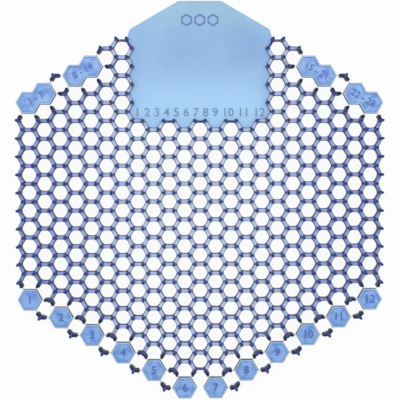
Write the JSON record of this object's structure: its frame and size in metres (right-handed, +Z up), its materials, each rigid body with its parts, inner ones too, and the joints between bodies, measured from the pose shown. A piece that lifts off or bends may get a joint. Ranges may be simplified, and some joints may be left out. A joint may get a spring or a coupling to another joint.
{
  "type": "urinal deodorizer screen",
  "caption": "Flexible honeycomb urinal screen with splash posts on both faces, a flat grip plate and pull-off tabs round its edge.",
  "frame": {"origin": "under the middle of the mat's overall box, at the level of its lowest feet", "axes": "+Z up out of the upper face, +Y towards the grip plate, +X to the right seen from above"},
  "size_m": [0.1738, 0.1888, 0.0124],
  "materials": {
    "scented_moulding": "soft translucent blue moulding with a satin sheen"
  },
  "bodies": {
    "root": {"screen": "scented_moulding"}
  },
  "joints": []
}
